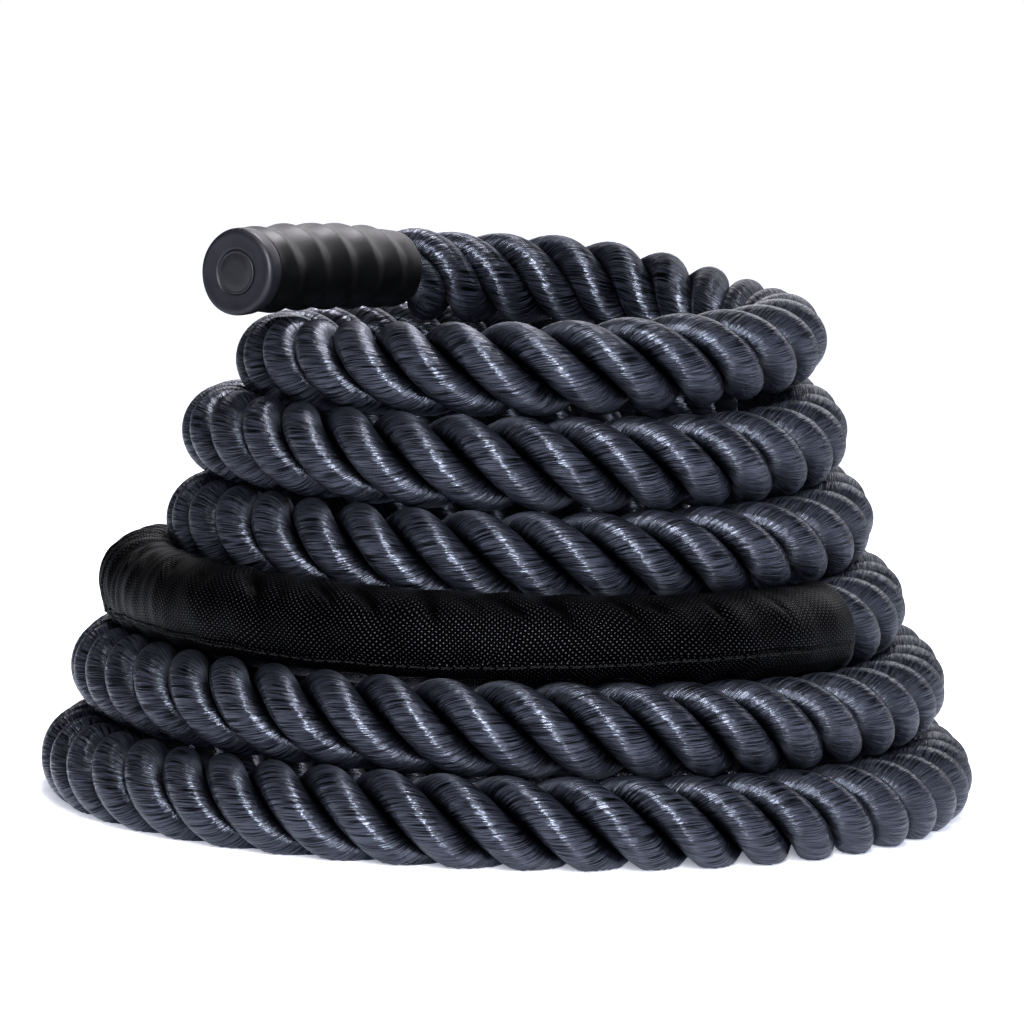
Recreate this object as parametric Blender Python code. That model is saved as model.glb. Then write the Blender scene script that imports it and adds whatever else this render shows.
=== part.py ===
# Battle rope resting in a cone of six rows, with a rubber grip on each end and a fabric sleeve round row 3.
# Metres, +Z up. The ground is z = 0 and the front of the coil faces -Y.
import math

import bmesh
import bpy
import numpy as np

# Driving sizes, metres
ROPE_DIAMETER = 0.050
SLEEVE_LENGTH = 0.86
SLEEVE_CLEARANCE = 0.0006
SLEEVE_WALL = 0.0012
SEAM_GAP = 0.0005
SEAM_THICKNESS = 0.0012
SEAM_WIDTH = 0.013
SEAM_DROP = 0.006
GRIP_LENGTH = 0.153
GRIP_RADIUS = 0.0238
GRIP_END_RADIUS = 0.0246
GRIP_MOUTH_RADIUS = 0.0204
GRIP_WALL = 0.0018
TAPER_LENGTH = 0.058
RIDGE_PITCH = 0.0252
RIDGE_HEIGHT = 0.0012
LIP_LENGTH = 0.008
CAP_THICKNESS = 0.012
CAP_LIP_RADIUS = 0.0032
RECESS_RADIUS = 0.0128
RECESS_DEPTH = 0.0016
BADGE_RADIUS = 0.0123
BADGE_THICKNESS = 0.0009
FIT_GAP = 0.0003
GROUND_GRIP_HEIGHT = 0.0251
INNER_CLEARANCE = 0.004
CUTTER_DEPTH = 0.02
CUTTER_MARGIN = 0.05
SLEEVE_CUT_MARGIN = 0.006
WELD_DISTANCE = 0.000001

# Shares of the rope's diameter
NECK_OUT_SHARE = 0.22
NECK_IN_SHARE = 0.16
TOP_ARC_RADIUS_SHARE = 2.45
TOP_ARC_HEIGHT_SHARE = 5.97
TOP_ARC_RISE_SHARE = 0.60
COIL_SHIFT_SHARES = (-0.0703, -0.1352, 0)

# Rows of the coil from the ground up, each from its left side round the front to its right side and the back.
# The first line is the inner turn, which lies on the ground inside row 1 and starts at the back.
COIL_RADIUS_SHARES = (
    (3.20,),
    (3.60, 3.70, 3.78, 4.25),
    (4.74, 4.80, 4.88, 5.07),
    (4.45, 4.40, 4.54, 4.60),
    (4.08, 3.83, 4.05, 3.78),
    (3.40, 3.25, 3.66, 3.59),
    (3.26, 2.96, 3.34, 3.24),
    (2.66, 2.65, 3.07),
)
COIL_HEIGHT_SHARES = (
    (0.40,),
    (0.40, 0.40, 0.40, 0.40),
    (0.40, 0.40, 0.40, 1.25),
    (1.45, 1.40, 1.49, 2.17),
    (2.40, 2.25, 2.40, 2.83),
    (3.15, 3.09, 3.34, 3.85),
    (4.16, 4.09, 4.30, 4.83),
    (4.98, 5.10, 5.30),
)

# Angles, degrees
QUARTER_TURN = 90.0
HALF_TURN = 180.0
FULL_TURN = 360.0
START_ANGLE = 90.0
TOP_ARC_TURN = 146.0
SLEEVE_END_ANGLE = 1409.0
FACET_TILT = 30.0
SEAM_ANGLE = 0.0

# Smoothness
POINTS_PER_TURN = 24
BEVEL_RESOLUTION = 1
GRIP_SEGMENTS = 28
GRIP_RINGS_PER_RIDGE = 7
DISC_SEGMENTS = 40
LIP_STEPS = 4

ROPE_RADIUS = ROPE_DIAMETER / 2


def clear_scene():
    for obj in list(bpy.data.objects):
        bpy.data.objects.remove(obj)


def make_material(name, colour, roughness, metallic):
    material = bpy.data.materials.new(name)
    material.use_nodes = True
    shader = material.node_tree.nodes["Principled BSDF"]
    shader.inputs["Base Color"].default_value = (*colour, 1)
    shader.inputs["Roughness"].default_value = roughness
    shader.inputs["Metallic"].default_value = metallic
    return material


def through(values, places):
    """A smooth curve through the values, read at places counted in steps between them."""
    first = 2 * values[0] - values[1]
    last = 2 * values[-1] - values[-2]
    padded = np.concatenate([[first], values, [last]])
    index = np.clip(np.floor(places).astype(int), 0, len(values) - 2)
    part = places - index
    before, near, far, after = (padded[index + shift] for shift in range(4))
    linear = far - before
    square = 2 * before - 5 * near + 4 * far - after
    cube = 3 * near - before - 3 * far + after
    return (2 * near + linear * part + square * part**2 + cube * part**3) / 2


def eased(progress):
    """0 to 1 with a level start and end."""
    return progress**2 * (3 - 2 * progress)


def unit(vector):
    return vector / np.linalg.norm(vector)


def coil_points():
    """The rows and the inner turn: centre line points, 24 a turn."""
    radii = np.array([share for row in COIL_RADIUS_SHARES for share in row]) * ROPE_DIAMETER
    heights = np.array([share for row in COIL_HEIGHT_SHARES for share in row]) * ROPE_DIAMETER
    per_quarter = POINTS_PER_TURN * QUARTER_TURN / FULL_TURN
    count = int((len(radii) - 1) * per_quarter) + 1
    places = np.arange(count) / per_quarter
    angles = np.radians(START_ANGLE + places * QUARTER_TURN)
    radius = through(radii, places)
    points = np.column_stack([radius * np.cos(angles), radius * np.sin(angles), through(heights, places)])
    return points + np.array(COIL_SHIFT_SHARES) * ROPE_DIAMETER


def arc_points(centre, radius, start, turn, heights):
    """Points along a level arc after its start, with a height for each."""
    angles = np.radians(start + turn * np.arange(1, len(heights) + 1) / len(heights))
    x = centre[0] + radius * np.cos(angles)
    y = centre[1] + radius * np.sin(angles)
    return np.column_stack([x, y, heights])


def inner_arc():
    """Radius and turn of the arc that brings the inner grip across the middle, clear of the inner turn."""
    start = COIL_RADIUS_SHARES[0][0] * ROPE_DIAMETER
    wall = min(COIL_RADIUS_SHARES[1]) * ROPE_DIAMETER - ROPE_RADIUS
    reach = start + wall - GRIP_END_RADIUS - INNER_CLEARANCE
    radius = (reach**2 - GRIP_LENGTH**2) / (2 * reach)
    return radius, HALF_TURN - math.degrees(math.atan2(GRIP_LENGTH, radius))


def centre_line():
    """The rope's centre line from the inner mouth to the top mouth, and where both grips point."""
    coil = coil_points()
    top_radius = TOP_ARC_RADIUS_SHARE * ROPE_DIAMETER
    top_height = TOP_ARC_HEIGHT_SHARE * ROPE_DIAMETER
    count = round(POINTS_PER_TURN * TOP_ARC_TURN / FULL_TURN)
    progress = np.minimum(np.arange(1, count + 1) / count / TOP_ARC_RISE_SHARE, 1)
    heights = coil[-1, 2] + (top_height - coil[-1, 2]) * eased(progress)
    centre = coil[-1] - np.array([top_radius, 0, 0])
    top = arc_points(centre, top_radius, 0, TOP_ARC_TURN, heights)
    top_angle = math.radians(TOP_ARC_TURN)
    top_way = np.array([-math.sin(top_angle), math.cos(top_angle), 0])

    inner_radius, inner_turn = inner_arc()
    count = round(POINTS_PER_TURN * inner_turn / FULL_TURN)
    heights = coil[0, 2] + (GROUND_GRIP_HEIGHT - coil[0, 2]) * eased(np.arange(1, count + 1) / count)
    centre = coil[0] - np.array([0, inner_radius, 0])
    inner = arc_points(centre, inner_radius, START_ANGLE, -inner_turn, heights)
    inner_angle = math.radians(START_ANGLE - inner_turn)
    inner_way = np.array([math.sin(inner_angle), -math.cos(inner_angle), 0])
    return np.vstack([inner[::-1], coil, top]), inner_way, top_way


def along(points, distance):
    """The point this far along a line of points."""
    steps = np.linalg.norm(np.diff(points, axis=0), axis=1)
    reached = np.concatenate([[0], np.cumsum(steps)])
    return np.array([np.interp(distance, reached, points[:, axis]) for axis in range(3)])


def grip_run(mouth, way):
    """Rope points inside a grip, from its mouth to its closed end, with the rope's width there as shares."""
    body = GRIP_RADIUS - RIDGE_HEIGHT - GRIP_WALL - 2 * FIT_GAP
    neck = GRIP_MOUTH_RADIUS - GRIP_WALL - 2 * FIT_GAP
    last = GRIP_LENGTH - CAP_THICKNESS - FIT_GAP
    inside = NECK_IN_SHARE * ROPE_DIAMETER
    distances = (0, inside, TAPER_LENGTH, last)
    width_shares = (neck / ROPE_RADIUS, neck / ROPE_RADIUS, body / ROPE_RADIUS, body / ROPE_RADIUS)
    return [mouth + way * distance for distance in distances], list(width_shares)


def rope_line():
    """All of the rope's points with a width share for each: grip, coil, grip."""
    middle, inner_way, top_way = centre_line()
    shares = [1.0] * len(middle)
    inner_points, inner_shares = grip_run(middle[0], inner_way)
    top_points, top_shares = grip_run(middle[-1], top_way)
    out = NECK_OUT_SHARE * ROPE_DIAMETER
    after_inner = along(middle, out)
    before_top = along(middle[::-1], out)
    points = inner_points[::-1] + [after_inner] + list(middle[1:-1]) + [before_top] + top_points
    shares = inner_shares[::-1] + [1.0] + shares[1:-1] + [1.0] + top_shares
    return np.array(points), shares


def tube_mesh(name, points, radius, shares=None):
    """A closed tube through the points as a mesh, its corners up and down."""
    curve = bpy.data.curves.new(name, "CURVE")
    curve.dimensions = "3D"
    curve.twist_mode = "Z_UP"
    curve.bevel_depth = radius
    curve.bevel_resolution = BEVEL_RESOLUTION
    curve.use_fill_caps = True
    spline = curve.splines.new("POLY")
    spline.points.add(len(points) - 1)
    for index, point in enumerate(points):
        spline.points[index].co = (*point, 1)
        spline.points[index].tilt = math.radians(FACET_TILT)
        spline.points[index].radius = shares[index] if shares else 1.0
    guide = bpy.data.objects.new(name, curve)
    bpy.context.scene.collection.objects.link(guide)
    bpy.context.view_layer.update()
    graph = bpy.context.evaluated_depsgraph_get()
    mesh = bpy.data.meshes.new_from_object(guide.evaluated_get(graph))
    bpy.data.objects.remove(guide)
    weld(mesh)
    return mesh


def weld(mesh):
    work = bmesh.new()
    work.from_mesh(mesh)
    bmesh.ops.remove_doubles(work, verts=work.verts, dist=WELD_DISTANCE)
    bmesh.ops.recalc_face_normals(work, faces=work.faces)
    work.to_mesh(mesh)
    work.free()


def add_piece(name, mesh, material, collection, smooth=True):
    mesh.materials.clear()
    mesh.materials.append(material)
    obj = bpy.data.objects.new(name, mesh)
    collection.objects.link(obj)
    if smooth:
        mesh.polygons.foreach_set("use_smooth", [True] * len(mesh.polygons))
    return obj


def add_cutter(name, mesh, collection):
    obj = bpy.data.objects.new(name, mesh)
    collection.objects.link(obj)
    obj.hide_render = True
    obj.display_type = "WIRE"
    return obj


def cut(obj, cutter):
    modifier = obj.modifiers.new("cut_" + cutter.name, "BOOLEAN")
    modifier.operation = "DIFFERENCE"
    modifier.solver = "EXACT"
    modifier.object = cutter


def mesh_from(name, vertices, faces):
    mesh = bpy.data.meshes.new(name)
    mesh.from_pydata([tuple(vertex) for vertex in vertices], [], faces)
    weld(mesh)
    return mesh


def turned_mesh(name, rings, base, way):
    """Points and faces of rings round an axis. Each ring holds a (distance, radius) for each segment."""
    side = unit(np.cross(way, (0, 0, 1)))
    up = np.cross(side, way)
    vertices = []
    for ring in rings:
        for index, (distance, radius) in enumerate(ring):
            angle = 2 * math.pi * index / len(ring)
            vertices.append(base + way * distance + radius * (math.cos(angle) * side + math.sin(angle) * up))
    count = len(rings[0])
    faces = []
    for ring in range(len(rings) - 1):
        for index in range(count):
            after = (index + 1) % count
            low = ring * count
            high = low + count
            faces.append((low + index, low + after, high + after, high + index))
    return vertices, faces, count


def ridge_profile(distance):
    """Radius between ridges at this distance from the closed end: the body tapers to its mouth."""
    blend = min(distance / RIDGE_PITCH, 1)
    straight = GRIP_END_RADIUS - RIDGE_HEIGHT + (GRIP_RADIUS - GRIP_END_RADIUS) * blend
    tapered = max(distance - GRIP_LENGTH + TAPER_LENGTH, 0) / (TAPER_LENGTH - LIP_LENGTH)
    return straight - (GRIP_RADIUS - RIDGE_HEIGHT - GRIP_MOUTH_RADIUS) * min(tapered, 1)


def grip_mesh(name, mouth, way):
    """The shrunk rubber tube. One ridge winds round it like a right-hand screw, up to the mouth's lip."""
    tip = mouth + way * GRIP_LENGTH
    inward = -way
    first = CAP_THICKNESS + FIT_GAP
    body_end = GRIP_LENGTH - LIP_LENGTH
    step = RIDGE_PITCH / GRIP_RINGS_PER_RIDGE
    count = round((body_end - first) / step)
    rings = []
    for place in range(count + 1):
        distance = first + (body_end - first) * place / count
        ring = []
        for index in range(GRIP_SEGMENTS):
            turn = distance / RIDGE_PITCH + index / GRIP_SEGMENTS
            swell = (math.cos(2 * math.pi * turn) + 1) / 2
            ring.append((distance, ridge_profile(distance) + RIDGE_HEIGHT * swell))
        rings.append(ring)
    lip = GRIP_MOUTH_RADIUS
    bore = GRIP_MOUTH_RADIUS - GRIP_WALL
    inner = GRIP_RADIUS - RIDGE_HEIGHT - GRIP_WALL
    inside = NECK_IN_SHARE * ROPE_DIAMETER
    profile = (
        (GRIP_LENGTH - LIP_LENGTH / 3, lip + RIDGE_HEIGHT / 3),
        (GRIP_LENGTH - LIP_LENGTH / 9, lip),
        (GRIP_LENGTH, (lip + bore) / 2),
        (GRIP_LENGTH - LIP_LENGTH / 9, bore),
        (GRIP_LENGTH - inside, bore),
        (GRIP_LENGTH - TAPER_LENGTH, inner),
        (first, inner),
    )
    rings += [[(distance, radius)] * GRIP_SEGMENTS for distance, radius in profile]
    rings.append(rings[0])
    vertices, faces, _ = turned_mesh(name, rings, tip, inward)
    return mesh_from(name, vertices, faces)


def disc_mesh(name, profile, base, way):
    """A turned body whose profile starts and ends on its axis."""
    rings = [[point] * DISC_SEGMENTS for point in profile]
    vertices, faces, count = turned_mesh(name, rings, base, way)
    faces.append(tuple(range(count))[::-1])
    start = len(vertices) - count
    faces.append(tuple(range(start, start + count)))
    return mesh_from(name, vertices, faces)


def cap_mesh(name, mouth, way):
    """The moulded end: rolled lip and a shallow round recess for the badge."""
    tip = mouth + way * GRIP_LENGTH
    outer = GRIP_END_RADIUS
    profile = [(RECESS_DEPTH, RECESS_RADIUS), (0, RECESS_RADIUS), (0, outer - CAP_LIP_RADIUS)]
    for place in range(1, LIP_STEPS + 1):
        angle = math.pi / 2 * place / LIP_STEPS
        along_axis = CAP_LIP_RADIUS * (1 - math.cos(angle))
        across = outer - CAP_LIP_RADIUS + CAP_LIP_RADIUS * math.sin(angle)
        profile.append((along_axis, across))
    profile.append((CAP_THICKNESS, outer))
    return disc_mesh(name, profile, tip, -way)


def badge_mesh(name, mouth, way):
    """The blank round badge lying in the cap's recess."""
    tip = mouth + way * GRIP_LENGTH
    low = RECESS_DEPTH - FIT_GAP
    profile = [(low - BADGE_THICKNESS, BADGE_RADIUS), (low, BADGE_RADIUS)]
    return disc_mesh(name, profile, tip, -way)


def sleeve_points():
    """The sleeve's stretch of the centre line, from its rear end to its front right end on row 3."""
    coil = coil_points()
    angles = START_ANGLE + np.arange(len(coil)) * FULL_TURN / POINTS_PER_TURN
    end = np.array([np.interp(SLEEVE_END_ANGLE, angles, coil[:, axis]) for axis in range(3)])
    before = [point for point, angle in zip(coil, angles) if angle < SLEEVE_END_ANGLE - 1]
    backwards = np.array([end] + before[::-1])
    steps = np.linalg.norm(np.diff(backwards, axis=0), axis=1)
    reached = np.concatenate([[0], np.cumsum(steps)])
    whole = SLEEVE_LENGTH - ROPE_RADIUS / 4
    inside = [point for point, distance in zip(backwards, reached) if distance < whole]
    return np.array(inside + [along(backwards, SLEEVE_LENGTH)])[::-1]


def lengthened(points, extra):
    """The points with both ends moved out by this much."""
    first = points[0] + unit(points[0] - points[1]) * extra
    last = points[-1] + unit(points[-1] - points[-2]) * extra
    return np.vstack([[first], points, [last]])


def seam_mesh(name, points, radius):
    """The folded seam allowance: a flat strip along the sleeve's outer side, just below its middle."""
    tangents = np.gradient(points, axis=0)
    angle = math.radians(SEAM_ANGLE)
    low = radius * math.cos(math.radians(FACET_TILT)) + SEAM_GAP
    high = low + SEAM_THICKNESS
    half = SEAM_WIDTH / 2
    corners = ((low, -half), (low, half), (high, half), (high, -half))
    vertices = []
    for point, tangent in zip(points, tangents):
        forward = unit(tangent)
        outward = unit(np.cross(forward, (0, 0, 1)))
        up = np.cross(outward, forward)
        facing = outward * math.cos(angle) + up * math.sin(angle)
        across = np.cross(forward, facing)
        for height, side in corners:
            vertices.append(point + facing * height + across * (side + SEAM_DROP))
    count = len(corners)
    faces = []
    for place in range(len(points) - 1):
        start = count * place
        for index in range(count):
            after = (index + 1) % count
            faces.append((start + index, start + after, start + count + after, start + count + index))
    last = len(vertices) - count
    faces += [tuple(range(count))[::-1], tuple(range(last, last + count))]
    return mesh_from(name, vertices, faces)


def ground_cutter_mesh(name, points):
    """A block under the ground plane, wide enough for the whole coil."""
    reach = np.abs(points[:, :2]).max() + CUTTER_MARGIN
    vertices = []
    for height in (-CUTTER_DEPTH, 0):
        for x, y in ((-reach, -reach), (reach, -reach), (reach, reach), (-reach, reach)):
            vertices.append((x, y, height))
    faces = [(0, 1, 2, 3), (4, 5, 6, 7), (0, 1, 5, 4), (1, 2, 6, 5), (2, 3, 7, 6), (3, 0, 4, 7)]
    return mesh_from(name, vertices, faces)


def least_gap(points):
    """The closest that the coil's tube comes to itself, half a turn or more apart."""
    apart = POINTS_PER_TURN // 2
    gaps = []
    for index in range(len(points) - apart):
        away = np.linalg.norm(points[index + apart:] - points[index], axis=1)
        gaps.append(away.min() - ROPE_DIAMETER)
    return min(gaps)


def build():
    clear_scene()
    parts = bpy.data.collections.new("battle_rope")
    cutters = bpy.data.collections.new("cutters")
    bpy.context.scene.collection.children.link(parts)
    bpy.context.scene.collection.children.link(cutters)
    fibre = make_material("rope_fibre", (0.018, 0.021, 0.032), 0.42, 0.0)
    woven = make_material("sleeve_fabric", (0.010, 0.010, 0.012), 0.85, 0.0)
    folded = make_material("seam_fabric", (0.008, 0.008, 0.010), 0.88, 0.0)
    rubber = make_material("grip_rubber", (0.012, 0.012, 0.015), 0.38, 0.0)
    moulded = make_material("cap_rubber", (0.020, 0.020, 0.026), 0.45, 0.0)
    blank = make_material("badge_face", (0.030, 0.030, 0.036), 0.30, 0.0)

    points, shares = rope_line()
    rope = add_piece("rope", tube_mesh("rope", points, ROPE_RADIUS, shares), fibre, parts)
    cut(rope, add_cutter("ground_cutter", ground_cutter_mesh("ground_cutter", points), cutters))

    covered = sleeve_points()
    inner_radius = ROPE_RADIUS + SLEEVE_CLEARANCE
    outer_radius = inner_radius + SLEEVE_WALL / math.cos(math.radians(FACET_TILT))
    sleeve = add_piece("sleeve_panel", tube_mesh("sleeve_panel", covered, outer_radius), woven, parts)
    bore = tube_mesh("sleeve_bore", lengthened(covered, SLEEVE_CUT_MARGIN), inner_radius)
    cut(sleeve, add_cutter("sleeve_bore", bore, cutters))
    seam = seam_mesh("sleeve_seam_strip", covered, outer_radius)
    add_piece("sleeve_seam_strip", seam, folded, parts, False)

    middle, inner_way, top_way = centre_line()
    for end, mouth, way in (("inner", middle[0], inner_way), ("top", middle[-1], top_way)):
        add_piece("grip_" + end, grip_mesh("grip_" + end, mouth, way), rubber, parts)
        add_piece("end_cap_" + end, cap_mesh("end_cap_" + end, mouth, way), moulded, parts)
        add_piece("badge_" + end, badge_mesh("badge_" + end, mouth, way), blank, parts)

    length = np.linalg.norm(np.diff(points, axis=0), axis=1).sum()
    print("rope length", round(float(length), 3), "m, sleeve", SLEEVE_LENGTH, "m")
    print("least gap of the coil to itself", round(float(least_gap(middle)) * 1000, 2), "mm")


build()
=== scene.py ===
import math

import bmesh
import bpy
import numpy as np
from mathutils import Matrix
from mathutils.kdtree import KDTree


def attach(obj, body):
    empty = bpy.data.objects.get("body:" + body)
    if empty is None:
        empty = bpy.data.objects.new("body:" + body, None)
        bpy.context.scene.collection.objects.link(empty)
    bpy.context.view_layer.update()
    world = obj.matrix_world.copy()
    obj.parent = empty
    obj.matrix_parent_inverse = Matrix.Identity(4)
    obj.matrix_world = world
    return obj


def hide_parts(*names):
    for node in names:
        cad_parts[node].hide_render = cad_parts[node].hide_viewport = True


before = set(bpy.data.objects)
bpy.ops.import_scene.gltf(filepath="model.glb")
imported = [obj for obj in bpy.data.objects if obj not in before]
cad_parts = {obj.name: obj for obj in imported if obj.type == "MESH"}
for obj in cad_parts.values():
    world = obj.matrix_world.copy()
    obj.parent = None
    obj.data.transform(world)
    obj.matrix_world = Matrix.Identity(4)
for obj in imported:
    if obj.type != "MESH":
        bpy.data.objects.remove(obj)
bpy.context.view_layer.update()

scene = bpy.context.scene

# Where the rope goes, in rope diameters. One line per row: left, front, right, back.
route = {
    "diameter": 0.050,
    "shift": (-0.0703, -0.1352),
    "radii": (
        (3.20,),
        (3.60, 3.70, 3.78, 4.25),
        (4.74, 4.80, 4.88, 5.07),
        (4.45, 4.40, 4.54, 4.60),
        (4.08, 3.83, 4.05, 3.78),
        (3.40, 3.25, 3.66, 3.59),
        (3.26, 2.96, 3.34, 3.24),
        (2.66, 2.65, 3.07),
    ),
    "heights": (
        (0.40,),
        (0.40, 0.40, 0.40, 0.40),
        (0.40, 0.40, 0.40, 1.25),
        (1.45, 1.40, 1.49, 2.17),
        (2.40, 2.25, 2.40, 3.00),
        (3.15, 3.09, 3.34, 4.00),
        (4.16, 4.09, 4.30, 4.98),
        (4.98, 5.10, 5.38),
    ),
    "startAngle": 90,
    "topArc": {"radius": 2.45, "height": 5.97, "rise": 0.68, "turn": 146},
    "innerGripHeight": 0.0251,
    "innerClearance": 0.004,
    "lowest": 0.455,  # a soft rope's middle over the floor
    "smoothing": (0.030, 0.020, 0.010),  # at the arcs' joins, on the ground, at the grips
    "perTurn": 240,  # points
}

gripShape = {
    "length": 0.153,
    "radius": 0.0249,
    "endRadius": 0.0246,
    "mouthRadius": 0.0204,
    "wall": 0.0018,
    "ridgePitch": 0.0252,
    "ridgeHeight": 0.0019,
    "ridgeDrop": 0.42,
    "lipLength": 0.008,
    "taperLength": 0.058,
    "taper": 0.0016,
    "lift": 0.0014,  # the top grip lies this much above the solid
    "bow": 0.0026,  # and its middle bows up a little
    "segments": 112,
    "ringStep": 0.0011,
}

sleeveShape = {
    "endAngle": 1409,
    "length": 0.86,
    "radius": 0.0264,
    "wall": 0.0005,
    "hem": 0.0004,
    "around": 144,
    "ringStep": 0.0013,
    "strandMark": 0.00035,
    "foldAngle": 1258,
    "foldReach": 0.070,
    "foldHeight": 0.0036,
    "foldWidth": 0.0031,
    "foldSpacing": 0.0112,
    "foldShade": 0.9,
    "creaseDepth": 0.0030,
    "creaseWidth": 0.0042,
    "creaseSpacing": 0.032,
    "creaseTop": 62,  # degrees above the middle where creases start
    "creaseReach": (26, 48),
    "creaseSlant": (0.006, 0.014),
    "creaseWindow": (0.25, 0.50),
    "press": 0.0026,  # how deep the row above sinks into the cloth
    "sidePress": 0.0004,
    "pressReach": 0.003,
    "darkDepth": 0.0014,
}


# Route of the rope

def throughPoints(values, places):
    # A smooth curve through the values, read at places counted in steps between them.
    first = 2 * values[0] - values[1]
    last = 2 * values[-1] - values[-2]
    padded = np.concatenate([[first], values, [last]])
    index = np.clip(np.floor(places).astype(int), 0, len(values) - 2)
    part = places - index
    before, near, far, after = (padded[index + step] for step in range(4))
    square = 2 * before - 5 * near + 4 * far - after
    cube = 3 * near - before - 3 * far + after
    return (2 * near + (far - before) * part + square * part**2 + cube * part**3) / 2


def eased(progress):
    return progress**2 * (3 - 2 * progress)


def easedOver(distance, length):
    # Goes from 0 to 1 over this length and stays there.
    return eased(np.clip(distance / length, 0, 1))


def hill(distance, width):
    # 1 in the middle, falling away to both sides.
    return np.exp(-((distance / width) ** 2))


def unitRows(vectors):
    return vectors / np.linalg.norm(vectors, axis=-1, keepdims=True)


def turnedWay(angles, first, second):
    # Ways at these angles, counted from the first way to the second.
    return np.cos(angles)[..., None] * first + np.sin(angles)[..., None] * second


def coilLine():
    size, perTurn = route["diameter"], route["perTurn"]
    radii = np.array([share for row in route["radii"] for share in row]) * size
    heights = np.array([share for row in route["heights"] for share in row]) * size
    count = int((len(radii) - 1) * perTurn / 4) + 1
    places = np.arange(count) * 4 / perTurn
    angles = np.radians(route["startAngle"] + places * 90)
    radius = throughPoints(radii, places)
    points = np.column_stack([radius * np.cos(angles), radius * np.sin(angles), throughPoints(heights, places)])
    points[:, :2] += np.array(route["shift"]) * size
    return points


def arcLine(centre, radius, start, turn, heights):
    angles = np.radians(start + turn * np.arange(1, len(heights) + 1) / len(heights))
    return np.column_stack([centre[0] + radius * np.cos(angles), centre[1] + radius * np.sin(angles), heights])


def wholeLine():
    # The rope from the inner mouth to the top mouth, and the way that each grip points.
    size, perTurn = route["diameter"], route["perTurn"]
    coil = coilLine()
    arc = route["topArc"]
    count = round(perTurn * arc["turn"] / 360)
    progress = np.minimum(np.arange(1, count + 1) / count / arc["rise"], 1)
    heights = coil[-1, 2] + (arc["height"] * size - coil[-1, 2]) * eased(progress)
    centre = coil[-1] - np.array([arc["radius"] * size, 0, 0])
    top = arcLine(centre, arc["radius"] * size, 0, arc["turn"], heights)
    angle = math.radians(arc["turn"])
    topWay = np.array([-math.sin(angle), math.cos(angle), 0])

    wall = min(route["radii"][1]) * size - size / 2
    reach = route["radii"][0][0] * size + wall - gripShape["endRadius"] - route["innerClearance"]
    innerRadius = (reach**2 - gripShape["length"] ** 2) / (2 * reach)
    innerTurn = 180 - math.degrees(math.atan2(gripShape["length"], innerRadius))
    count = round(perTurn * innerTurn / 360)
    heights = coil[0, 2] + (route["innerGripHeight"] - coil[0, 2]) * eased(np.arange(1, count + 1) / count)
    centre = coil[0] - np.array([0, innerRadius, 0])
    inner = arcLine(centre, innerRadius, route["startAngle"], -innerTurn, heights)
    angle = math.radians(route["startAngle"] - innerTurn)
    innerWay = np.array([math.sin(angle), -math.cos(angle), 0])
    return np.vstack([inner[::-1], coil, top]), innerWay, topWay


def lengthsAlong(points):
    steps = np.linalg.norm(np.diff(points, axis=0), axis=1)
    return np.concatenate([[0], np.cumsum(steps)])


def resampled(points, step):
    reached = lengthsAlong(points)
    wanted = np.linspace(0, reached[-1], round(reached[-1] / step) + 1)
    return np.column_stack([np.interp(wanted, reached, points[:, axis]) for axis in range(3)])


def smoothedLine(points, width):
    # Rounds the joins between the arcs and keeps both ends where they are.
    half = max(1, round(width / np.linalg.norm(points[1] - points[0])))
    weights = np.hanning(2 * half + 3)[1:-1]
    weights /= weights.sum()
    before = 2 * points[0] - points[half:0:-1]
    after = 2 * points[-1] - points[-2:-half - 2:-1]
    padded = np.vstack([before, points, after])
    return np.column_stack([np.convolve(padded[:, axis], weights, "valid") for axis in range(3)])


def newMesh(name, vertices, quads, material, maps=None):
    # vertices: n x 3, quads: m x 4, maps: name to (4m x 2) places
    mesh = bpy.data.meshes.new(name)
    mesh.vertices.add(len(vertices))
    mesh.vertices.foreach_set("co", np.asarray(vertices, np.float32).ravel())
    quads = np.asarray(quads, np.int32)
    mesh.loops.add(quads.size)
    mesh.loops.foreach_set("vertex_index", quads.ravel())
    mesh.polygons.add(len(quads))
    mesh.polygons.foreach_set("loop_start", np.arange(0, quads.size, 4, dtype=np.int32))
    mesh.polygons.foreach_set("use_smooth", np.full(len(quads), True))
    for mapName, places in (maps or {}).items():
        layer = mesh.uv_layers.new(name=mapName)
        layer.data.foreach_set("uv", np.asarray(places, np.float32).ravel())
    mesh.update(calc_edges=True)
    mesh.validate()
    mesh.materials.append(material)
    piece = bpy.data.objects.new(name, mesh)
    scene.collection.objects.link(piece)
    return piece


def addPointValue(piece, name, values):
    values = np.asarray(values, np.float32).ravel()
    piece.data.attributes.new(name, "FLOAT", "POINT").data.foreach_set("value", values)


def weldEnds(piece):
    work = bmesh.new()
    work.from_mesh(piece.data)
    bmesh.ops.remove_doubles(work, verts=work.verts, dist=0.00001)
    bmesh.ops.recalc_face_normals(work, faces=work.faces)
    work.to_mesh(piece.data)
    work.free()
    piece.data.polygons.foreach_set("use_smooth", np.full(len(piece.data.polygons), True))


def gridQuads(rings, around, start=0):
    # Faces of a tube whose rings are closed.
    ring, place = np.meshgrid(np.arange(rings - 1), np.arange(around), indexing="ij")
    after = (place + 1) % around
    low, high = start + ring * around, start + (ring + 1) * around
    return np.stack([low + place, high + place, high + after, low + after], axis=-1).reshape(-1, 4)


def gridPlaces(acrossEdges, alongEdges):
    # Map places of those faces: acrossEdges has one more value than the ring has points.
    u, v = np.meshgrid(acrossEdges, alongEdges)
    grid = np.stack([u, v], axis=-1)
    corners = [grid[:-1, :-1], grid[1:, :-1], grid[1:, 1:], grid[:-1, 1:]]
    return np.stack(corners, axis=2).reshape(-1, 2)


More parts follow.
